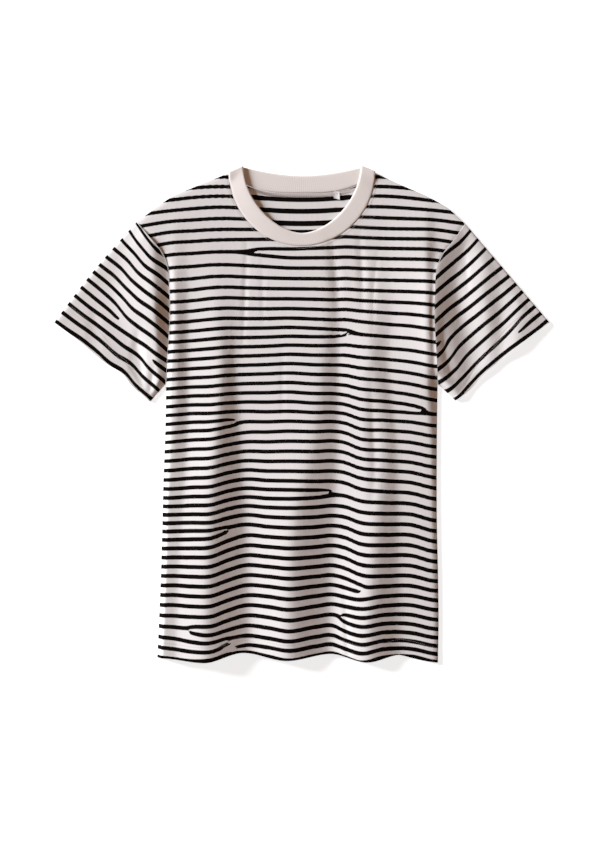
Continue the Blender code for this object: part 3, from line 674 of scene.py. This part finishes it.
def panel_plan(name, neck, divisions):
    """A body panel's plan: straight rows between the side seams, bent to the hem; above the
    underarm, lines that run from a straight row to the shoulders and the neck curve."""
    s = np.linspace(0, 1, divisions["shoulder"] + 1)
    n = np.linspace(0, 1, len(neck))
    top = np.concatenate([seam(SHOULDER, "left", s)[::-1], neck[1:-1],
                          seam(SHOULDER, "right", s)])
    share = np.concatenate([s * SHOULDER_SHARE,
                            SHOULDER_SHARE + (1 - 2 * SHOULDER_SHARE) * n[1:-1],
                            1 - SHOULDER_SHARE + s * SHOULDER_SHARE])[:, None]
    ends = np.linspace(0, 1, divisions["armhole"] + 1)
    left, right = (seam(ARMHOLE, side, ends)[::-1] for side in MIRROR)
    base = left[0] + (right[0] - left[0]) * share
    near_left = np.clip(1 - share / SHOULDER_SHARE, 0.0, 1.0)
    near_right = np.clip(1 - (1 - share) / SHOULDER_SHARE, 0.0, 1.0)
    upper = base + (top - base) * ends[:, None, None]
    upper = (upper + near_left * (left[:, None] - upper[:, :1])
             + near_right * (right[:, None] - upper[:, -1:]))
    down = np.linspace(1, 0, divisions["body"] + 1)[:-1]
    sides = [seam(SIDE_SEAM, side, down)[:, None] for side in MIRROR]
    lower = sides[0] + (sides[1] - sides[0]) * share
    level = lower[0, :1, 1] + (lower[0, -1:, 1] - lower[0, :1, 1]) * share[:, 0]
    lower[..., 1] += ((hem_at(name, lower[..., 0]) - level)
                      * smoothstep(HEM_REACH, 1.0, down)[:, None])
    return np.concatenate([lower, upper])


# ---- Materials ---------------------------------------------------------------------------------

def shader(name, roughness, sheen):
    """A new material, its Principled shader, and a function that adds a node to its tree. Each
    input of such a node is a value or another node's output."""
    made = bpy.data.materials.new(name)
    made.use_nodes = True
    tree = made.node_tree
    principled = tree.nodes["Principled BSDF"]
    for key, value in (("Roughness", roughness), ("Sheen Weight", sheen),
                       ("Sheen Roughness", 0.5), ("Specular IOR Level", 0.0)):
        principled.inputs[key].default_value = value

    def plug(node, inputs):
        for key, value in inputs.items():
            if isinstance(value, bpy.types.NodeSocket):
                tree.links.new(value, node.inputs[key])
            else:
                node.inputs[key].default_value = value

    def add(kind, inputs, **settings):
        node = tree.nodes.new("ShaderNode" + kind)
        for key, value in settings.items():
            setattr(node, key, value)
        plug(node, inputs)
        return node

    return made, lambda inputs: plug(principled, inputs), add


def maths(add, operation, *terms):
    """The result of a maths node on these terms."""
    return add("Math", dict(enumerate(terms)), operation=operation).outputs[0]


def noise(add, place, scale, detail):
    """Fractal noise at a place."""
    return add("TexNoise", {"Vector": place, "Scale": scale, "Detail": detail}).outputs["Fac"]


def mottled(add, share, colour, low, high=1.0):
    """The colour, from low to high times as bright as the share goes from 0 to 1."""
    dark, bright = ((*(c * times for c in colour), 1.0) for times in (low, high))
    return add("Mix", {0: share, 6: dark, 7: bright}, data_type="RGBA").outputs[2]


def knit_bump(add, wale, course, strength, distance):
    """Fine knit relief in the cloth's own coordinates, wales one way and courses the other, with
    fuzz over it. Returns the relief, the place on the object and the wales' wave."""
    cloth = add("UVMap", {}, uv_map="cloth")
    parts = add("SeparateXYZ", {"Vector": cloth.outputs["UV"]})
    wales, courses = (
        maths(add, "SINE", maths(add, "MULTIPLY", parts.outputs[axis], 2 * np.pi / repeat))
        for axis, repeat in (("X", wale), ("Y", course)))
    place = add("TexCoord", {}).outputs["Object"]
    fuzz = noise(add, place, scale=900.0, detail=3.0)
    knit = maths(add, "MULTIPLY_ADD", courses, COURSE_SHARE, wales)
    height = maths(add, "MULTIPLY_ADD", fuzz, FUZZ_SHARE, knit)
    bump = add("Bump", {"Strength": strength, "Distance": distance, "Height": height})
    return bump.outputs["Normal"], place, wales


def jersey_material(p):
    """Matt jersey: light cloth with black stripes where the stripe count's turn is near a whole
    number, their edges broken by the knit, and light mottling."""
    made, set_inputs, add = shader("jersey", roughness=0.92, sheen=0.0)
    relief, place, _ = knit_bump(add, wale=0.0011, course=0.0009, strength=0.25, distance=0.00012)
    count = add("Attribute", {}, attribute_name="stripe")
    parts = add("SeparateXYZ", {"Vector": count.outputs["Vector"]}).outputs
    away = maths(add, "ABSOLUTE", maths(add, "ARCTAN2", parts["Y"], parts["X"]))
    broken = noise(add, place, scale=520.0, detail=1.0)
    ragged = maths(add, "MULTIPLY_ADD", broken, STRIPE_RAGGED, away)
    light = add("MapRange", {"Value": maths(add, "SUBTRACT", ragged, parts["Z"]),
                             "From Min": STRIPE_EDGE[0], "From Max": STRIPE_EDGE[1]},
                interpolation_type="SMOOTHSTEP")
    drawn = add("Mapping", {"Vector": place, "Scale": MOTTLE_SCALE})
    mottle = noise(add, drawn.outputs["Vector"], scale=1.0, detail=2.0)
    colour = add("Mix", {0: light.outputs[0], 6: (*p.dark, 1.0),
                         7: mottled(add, mottle, p.light, low=0.90, high=1.05)},
                 data_type="RGBA")
    set_inputs({"Base Color": colour.outputs[2], "Normal": relief})
    return made


def rib_material(p):
    """Fine rib knit: ribs across the band, in its own coordinates, with painted shade darkening
    the grooves between them.
    """
    made, set_inputs, add = shader("rib", roughness=0.9, sheen=0.05)
    relief, place, wales = knit_bump(add, wale=0.0031, course=0.0010, strength=0.35,
                                     distance=0.00022)
    tone = mottled(add, noise(add, place, scale=90.0, detail=4.0), p.collar, low=0.94)
    # Painted shade: the colour darkens in the grooves between the ribs, where the wales' wave is
    # low.
    between = add("MapRange", {"Value": wales, "From Min": -1.0, "From Max": 0.2,
                               "To Min": RIB_GROOVE_SHADE, "To Max": 1.0}, clamp=True)
    ribbed = add("VectorMath", {"Vector": tone, "Scale": between.outputs[0]}, operation="SCALE")
    set_inputs({"Base Color": ribbed.outputs[0], "Normal": relief})
    return made


def plain_material(name, colour, scale):
    """Thread or tape: one colour, mottled and roughened by fine noise."""
    made, set_inputs, add = shader(name, roughness=0.8, sheen=0.1)
    grain = noise(add, add("TexCoord", {}).outputs["Object"], scale, detail=3.0)
    bump = add("Bump", {"Strength": 0.3, "Distance": 0.0001, "Height": grain})
    set_inputs({"Base Color": mottled(add, grain, colour, low=0.85),
                "Normal": bump.outputs["Normal"]})
    return made


def cloth_material(name, properties):
    """The named material, made the first time it is asked for."""
    if name in bpy.data.materials:
        return bpy.data.materials[name]
    if name in PLAIN_CLOTHS:
        made = plain_material(name, *PLAIN_CLOTHS[name])
    else:
        made = {"shirt_jersey": jersey_material, "shirt_rib": rib_material}[name](properties)
    made.name = name
    return made


# ---- Operators ---------------------------------------------------------------------------------

def body_panel(name, neck, divisions, heights, stripes, p):
    """A body panel between its hem and its neck curve. heights gives the heights of its two sides
    from the places in plan and their distances from the hem, and stripes the stripe values."""
    plan = panel_plan(name, neck, divisions)
    x, y = plan.reshape(-1, 2).T
    inset = np.abs(beside([plan[0]], x, y)[0])
    top, under = (np.column_stack([x, y, z]).reshape(*plan.shape[:2], 3)
                  for z in heights(x, y, inset))
    return panel("cloth_" + name, top, under, cloth_material("shirt_jersey", p),
                 stripes(x, y), np.column_stack([x, y]))


class MESH_OT_shirt_front(bpy.types.Operator):
    """Makes the front panel"""
    bl_idname = "mesh.shirt_front"
    bl_label = "Front"

    def execute(self, context):
        p = context.scene.shirt
        neck = scoop(*NECK_POINT, NECK_SEAM_Y, NECK_SEAM_POWER,
                     np.linspace(0, 1, FRONT_DIVISIONS["neck"] + 1))

        def heights(x, y, inset):
            turned = doubled(inset)
            top = front_height(x, y) + HEM_RAISED * turned
            return top, top - p.jersey * (1 + HEM_THICKER * turned)

        def stripes(x, y):
            black = p.stripe * (1 + LOWER_STRIPES * (1 - smoothstep(*LOWER_STRIPES_FADE, y)))
            return stripe_values(front_stripes, x, y, FRONT_CHART.repeat, black)

        made = body_panel("front", neck, FRONT_DIVISIONS, heights, stripes, p)
        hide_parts("front")
        return {"FINISHED"}


class MESH_OT_shirt_back(bpy.types.Operator):
    """Makes the back panel, which lies flat"""
    bl_idname = "mesh.shirt_back"
    bl_label = "Back"

    def execute(self, context):
        p = context.scene.shirt
        neck = bow(*NECK_POINT, BACK_SEAM_Y, BACK_SEAM_POWER,
                   np.linspace(0, 1, BACK_DIVISIONS["neck"] + 1))

        def heights(x, y, inset):
            return np.full(len(x), p.jersey), np.zeros(len(x))

        def stripes(x, y):
            return stripe_values(back_stripes, x, y, FRONT_CHART.repeat,
                                 BACK_STRIPES_WIDER * p.stripe)

        made = body_panel("back", neck, BACK_DIVISIONS, heights, stripes, p)
        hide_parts("back")
        return {"FINISHED"}


class MESH_OT_shirt_sleeves(bpy.types.Operator):
    """Makes both sleeves, as flattened tubes"""
    bl_idname = "mesh.shirt_sleeves"
    bl_label = "Sleeves"

    def execute(self, context):
        p = context.scene.shirt
        for side in MIRROR:
            self.make(side, p)
        return {"FINISHED"}

    def make(self, side, p):
        """Rings round the tube: over the top from the fold to the seam, back underneath, and
        the same inside, a wall's thickness in."""
        steps, rings = SLEEVE_DIVISIONS
        even = np.linspace(0, 1, steps + 1)
        across = 0.5 * (0.5 - 0.5 * np.cos(np.pi * even)) + 0.5 * even
        stations = np.linspace(0, 1, rings + 1) ** SLEEVE_CROWDING
        outer, inner, flat = [], [], []
        for along in stations:
            plan, height = sleeve_surface(side, across, along)
            rounding = np.sqrt(1 - np.abs(2 * across - 1) ** SLEEVE_ROUNDNESS)
            width = np.linalg.norm(plan[-1] - plan[0])
            inset = p.jersey / width
            inside = plan[0] + (plan - plan[0]) * (1 - 2 * inset) + (plan[-1] - plan[0]) * inset
            turned = doubled((1 - along) * sleeve_length(side))
            top = EDGE_MIDDLE + (height + HEM_RAISED * turned - EDGE_MIDDLE) * rounding
            bottom = EDGE_MIDDLE * (1 - rounding)
            wall = p.jersey * (1 + HEM_THICKER * turned)
            near = np.minimum(1.0, np.minimum(across, 1 - across) / LINING_EDGE)
            lining_top = np.maximum(top - wall, EDGE_MIDDLE + SEAM_GAP * near)
            lining_bottom = np.minimum(bottom + wall, EDGE_MIDDLE - SEAM_GAP * near)
            outer.append(np.concatenate([np.column_stack([plan, top]),
                                         np.column_stack([plan, bottom])[-2:0:-1]]))
            inner.append(np.concatenate([np.column_stack([inside, lining_top]),
                                         np.column_stack([inside, lining_bottom])[-2:0:-1]]))
            flat.append(np.concatenate([plan, plan[-2:0:-1]]))
        outer, inner, flat = np.array(outer), np.array(inner), np.array(flat)
        rings, around = outer.shape[:2]
        count = rings * around
        sheet = grid_quads(rings, around, closed_columns=True).reshape(-1, 4)
        j = np.arange(around)
        m = (j + 1) % around
        last = (rings - 1) * around
        ends = np.concatenate([np.stack([j, j + count, m + count, m], axis=1),
                               np.stack([m, m + count, j + count, j], axis=1) + last])
        points = np.concatenate([outer.reshape(-1, 3), inner.reshape(-1, 3)])
        quads = outward(points, np.concatenate([sheet, sheet[:, ::-1] + count, ends]))
        _, along_axis, up_axis = (np.array(v) for v in SLEEVE_AXES[side])
        plan = np.tile(flat.reshape(-1, 2), (2, 1))
        cloth_flat = np.column_stack([plan @ along_axis, plan @ up_axis])
        stripes = stripe_values(sleeve_stripes(side), *plan.T, SLEEVE_CHART[side].repeat,
                                SLEEVE_STRIPES_WIDER * p.stripe)
        made = make_object("cloth_sleeve_" + side, points, quads,
                           cloth_material("shirt_jersey", p), stripes, cloth_flat)
        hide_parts("sleeve_" + side)


def rib_rings(thickness):
    """The neck rib's sections: over the front, round each shoulder fold, and along the back.
    Each is a flat band with rounded edges between the seam and the free edge."""
    front = np.linspace(0, 1, RIB_DIVISIONS["front"] + 1)
    back = np.linspace(1, 0, RIB_DIVISIONS["back"] + 1)
    gap = SEAM_GAP
    seam_front = scoop(NECK_POINT[0] - gap, NECK_POINT[1], NECK_SEAM_Y + gap, NECK_SEAM_POWER,
                       front)
    free_front = scoop(*RIB_POINT, RIB_FRONT_Y, RIB_FRONT_POWER, front)
    seam_back = bow(NECK_POINT[0] - gap, NECK_POINT[1] + gap, BACK_SEAM_Y + gap,
                    BACK_SEAM_POWER, back)
    free_back = bow(*RIB_POINT, RIB_BACK_Y, RIB_BACK_POWER, back)
    table = np.array(RIB_FREE_HEIGHTS)
    inside = smoothstep(0.0, RIB_ENDS, front) * (1 - smoothstep(1 - RIB_ENDS, 1.0, front))
    flush = (front_height(seam_front[:, 0], seam_front[:, 1]) - 0.5 * thickness
             + RIB_STEP[0] + (RIB_STEP[1] - RIB_STEP[0]) * front)
    at_seam = RIB_POINT_HEIGHT + (flush - RIB_POINT_HEIGHT) * inside
    height_front = np.column_stack([at_seam, through(table[:, 0], table[:, 1:], front)])
    radius = (RIB_POINT_HEIGHT - RIB_BACK_HEIGHT) / 2
    turns = np.linspace(0, np.pi, RIB_DIVISIONS["turn"] + 2)[1:-1]
    count = len(turns)
    seam_line, free_line = (
        np.concatenate([over, np.tile(over[-1], (count, 1)), behind, np.tile(over[0], (count, 1))])
        for over, behind in ((seam_front, seam_back), (free_front, free_back)))
    fold = np.full((count, 2), RIB_BACK_HEIGHT + radius)
    middle = np.concatenate([height_front, fold, np.full((len(back), 2), RIB_BACK_HEIGHT), fold])
    turn = np.concatenate([np.zeros(len(front)), turns, np.full(len(back), np.pi), turns[::-1]])
    bend = ((turn > 0) & (turn < np.pi)) * radius
    width = free_line - seam_line
    along = width / np.linalg.norm(width, axis=1)[:, None]
    out = np.stack([-along[:, 1], along[:, 0]], axis=1) * np.sign(-seam_line[:, :1])
    share = (1 - np.cos(np.linspace(0, np.pi, RIB_DIVISIONS["across"] + 1))) / 2
    half = 0.5 * thickness * (1 - np.abs(2 * share - 1) ** RIB_ROUNDNESS) ** 0.5
    half = np.concatenate([half, -half[-2:0:-1]])
    share = np.concatenate([share, share[-2:0:-1]])
    plan = (seam_line[:, None] + width[:, None] * share[:, None]
            + out[:, None] * (np.sin(turn) * bend)[:, None, None]
            + out[:, None] * (np.sin(turn)[:, None] * half)[:, :, None])
    z = (middle[:, :1] + (middle[:, 1:] - middle[:, :1]) * share
         + (np.cos(turn) * bend)[:, None] + np.cos(turn)[:, None] * half)
    run = np.concatenate([[0.0], np.cumsum(np.linalg.norm(np.diff(seam_line, axis=0), axis=1))])
    flat = np.stack(np.broadcast_arrays(run[:, None], share * RIB_WIDTH), axis=-1)
    return np.concatenate([plan, z[..., None]], axis=-1), flat


class MESH_OT_shirt_rib(bpy.types.Operator):
    """Makes the neck rib, one closed band"""
    bl_idname = "mesh.shirt_rib"
    bl_label = "Neck rib"

    def execute(self, context):
        p = context.scene.shirt
        rings, flat = rib_rings(p.rib)
        count, around = rings.shape[:2]
        points = rings.reshape(-1, 3)
        quads = grid_quads(count, around, closed_rows=True, closed_columns=True).reshape(-1, 4)
        made = make_object("cloth_neck_rib", points, outward(points, quads),
                           cloth_material("shirt_rib", p), flat=flat.reshape(-1, 2))
        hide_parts("neck_rib")
        return {"FINISHED"}


class MESH_OT_shirt_tab(bpy.types.Operator):
    """Makes the blank folded tab at the back neck seam"""
    bl_idname = "mesh.shirt_tab"
    bl_label = "Size tab"

    def execute(self, context):
        """A strip folded over at its lower end: it goes down, round a small bend and back up,
        curling a little to the sides."""
        p = context.scene.shirt
        low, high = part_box("size_tab")
        across = np.linspace(-1, 1, 9)
        width, length = TAB_WIDTH * (high[0] - low[0]), high[1] - low[1] - TAB_SHORTER
        down = np.linspace(0, 1, 12)
        bend = np.linspace(0, np.pi, 7)[1:-1]
        upper, middle, lower = TAB_LIFTS
        run = np.concatenate([-length * down, -length - TAB_BEND * np.sin(bend),
                              -length * down[::-1]])
        lift = np.concatenate([upper + TAB_RISE * down, middle + TAB_BEND * np.cos(bend),
                               lower + TAB_RISE * down[::-1]])
        x = low[0] + 0.5 * width + 0.5 * width * across[None, :] + 0 * run[:, None]
        y = high[1] - TAB_INSET + run[:, None] - TAB_SLANT * across[None, :]
        z = p.jersey + lift[:, None] + TAB_CURL * across[None, :] ** 2
        top = np.stack([x, y, z], axis=-1)
        under = top - (0, 0, TAB_THICK)
        flat = np.stack([x, y], axis=-1).reshape(-1, 2)
        made = panel("cloth_size_tab", top, under, cloth_material("shirt_tab", p), None, flat)
        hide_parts("size_tab")
        return {"FINISHED"}


def stitch_row(name, path, pitch, share, radius, cloth, slant=0.0):
    """A row of stitches along a path: each is a short thread, a six-sided tube that arches up
    between its two ends. slant turns each stitch away from the path, by a share of its length."""
    steps = np.linalg.norm(np.diff(path, axis=0), axis=1)
    run = np.concatenate([[0.0], np.cumsum(steps)])
    starts = np.arange(pitch * 0.5, run[-1] - pitch, pitch)
    t = np.linspace(0, 1, 5)
    at = starts[:, None] + pitch * share * t[None, :]
    middle = np.stack([np.interp(at, run, path[:, k]) for k in range(3)], axis=-1)
    forward = middle[:, -1] - middle[:, 0]
    forward /= np.linalg.norm(forward, axis=1)[:, None]
    side = np.cross(forward, (0.0, 0.0, 1.0))
    side /= np.linalg.norm(side, axis=1)[:, None]
    middle = middle + side[:, None] * (slant * pitch * (t - 0.5))[None, :, None]
    arch = np.sin(np.pi * t)
    middle[..., 2] += radius * (STITCH_FOOT + STITCH_ARCH * arch)
    around = np.linspace(0, 2 * np.pi, 6, endpoint=False)
    thick = radius * (STITCH_END + (1 - STITCH_END) * arch)
    ring = (np.cos(around)[:, None] * side[:, None, None] * thick[:, None, None]
            + np.sin(around)[:, None] * np.array([0.0, 0.0, 1.0]) * thick[:, None, None])
    points = middle[:, :, None] + ring
    tube = grid_quads(len(t), 6, closed_columns=True).reshape(-1, 4)
    ends = np.array([[3, 2, 1, 0], [5, 4, 3, 0]])
    tube = np.concatenate([tube, ends, ends[:, ::-1] + 6 * (len(t) - 1)])
    count = len(t) * 6
    quads = (tube[None] + np.arange(len(starts))[:, None, None] * count).reshape(-1, 4)
    points = points.reshape(-1, 3)
    made = make_object(name, points, outward(points, quads), cloth)
    return made


class MESH_OT_shirt_stitching(bpy.types.Operator):
    """Makes the stitches round the neck, the hem and the cuffs"""
    bl_idname = "mesh.shirt_stitching"
    bl_label = "Stitching"

    def execute(self, context):
        p = context.scene.shirt
        thread = cloth_material("shirt_thread", p)

        def row(name, plan, height):
            stitch_row(name, np.column_stack([plan, height]), p.stitch, STITCH_SHARE, p.thread,
                       thread)

        neck = scoop(NECK_POINT[0] + NECK_STITCHES, NECK_POINT[1], NECK_SEAM_Y - NECK_STITCHES,
                     NECK_SEAM_POWER, np.linspace(0.02, 0.98, 400))
        row("stitches_neck", neck, front_height(*neck.T) + THREAD_LIFT)
        x = np.linspace(HEM["front"][0][0] + HEM_STITCH_ENDS,
                        HEM["front"][-1][0] - HEM_STITCH_ENDS, 500)
        for number, inset in enumerate(HEM_STITCHES):
            plan = np.column_stack([x, hem_at("front", x) + inset])
            row("stitches_hem_%d" % number, plan, front_height(*plan.T) + THREAD_LIFT)
        for side in MIRROR:
            for number, inset in enumerate(CUFF_STITCHES):
                plan, height = sleeve_surface(side, np.linspace(0.03, 0.97, 300),
                                              1 - inset / sleeve_length(side))
                row("stitches_cuff_%s_%d" % (side, number), plan, height)
        back = bow(*NECK_POINT, BACK_SEAM_Y - NECK_STITCHES, BACK_SEAM_POWER,
                   np.linspace(0.1, 0.9, 300))
        path = np.column_stack([back, np.full(len(back), p.jersey + BACK_ROW_LIFT)])
        stitch_row("stitches_neck_back", path, cloth=thread, **BACK_ROW)
        return {"FINISHED"}


class SCENE_OT_shirt_stage(bpy.types.Operator):
    """Makes the floor, the lights and the camera"""
    bl_idname = "scene.shirt_stage"
    bl_label = "Stage"

    def execute(self, context):
        p = context.scene.shirt
        scene = context.scene
        mesh = bpy.data.meshes.new("floor")
        corners = [(-1, -1, 0), (1, -1, 0), (1, 1, 0), (-1, 1, 0)]
        mesh.from_pydata(FLOOR_SIZE * np.array(corners, float), [], [(0, 1, 2, 3)])
        floor = bpy.data.objects.new("floor", mesh)
        made, set_inputs, _ = shader("shirt_floor", roughness=0.95, sheen=0.0)
        set_inputs(FLOOR)
        mesh.materials.append(made)
        scene.collection.objects.link(floor)
        sun = bpy.data.lights.new("key", "SUN")
        sun.energy = p.sun
        sun.angle = KEY_ANGLE
        sun.color = KEY_COLOUR
        key = bpy.data.objects.new("key", sun)
        key.rotation_euler = (0.0, np.pi / 2 - p.sun_height, np.pi - p.sun_side)
        scene.collection.objects.link(key)
        world = bpy.data.worlds.new("studio")
        world.use_nodes = True
        background = world.node_tree.nodes["Background"]
        background.inputs["Color"].default_value = FILL_COLOUR
        background.inputs["Strength"].default_value = p.sky
        scene.world = world
        lens = bpy.data.cameras.new("camera")
        lens.lens = CAMERA_LENS
        camera = bpy.data.objects.new("camera", lens)
        camera.location = CAMERA_PLACE
        scene.collection.objects.link(camera)
        scene.camera = camera
        scene.view_settings.view_transform = "Standard"
        scene.view_settings.gamma = p.tone
        return {"FINISHED"}


class VIEW3D_PT_shirt(bpy.types.Panel):
    """Lists the operators and their properties"""
    bl_idname = "VIEW3D_PT_shirt"
    bl_label = "T-shirt"
    bl_space_type = "VIEW_3D"
    bl_region_type = "UI"
    bl_category = "T-shirt"

    def draw(self, context):
        for name in ShirtProperties.__annotations__:
            self.layout.prop(context.scene.shirt, name)
        for operator in OPERATORS:
            self.layout.operator(operator.bl_idname)


OPERATORS = (
    MESH_OT_shirt_back,
    MESH_OT_shirt_front,
    MESH_OT_shirt_sleeves,
    MESH_OT_shirt_rib,
    MESH_OT_shirt_tab,
    MESH_OT_shirt_stitching,
    SCENE_OT_shirt_stage,
)
CLASSES = (ShirtProperties, *OPERATORS, VIEW3D_PT_shirt)


def register():
    for cls in CLASSES:
        bpy.utils.register_class(cls)
    bpy.types.Scene.shirt = bpy.props.PointerProperty(type=ShirtProperties)


def unregister():
    del bpy.types.Scene.shirt
    for cls in reversed(CLASSES):
        bpy.utils.unregister_class(cls)


def main():
    register()
    for operator in OPERATORS:
        group, name = operator.bl_idname.split(".")
        getattr(getattr(bpy.ops, group), name)()
    bpy.context.view_layer.update()


if __name__ == "__main__":
    main()
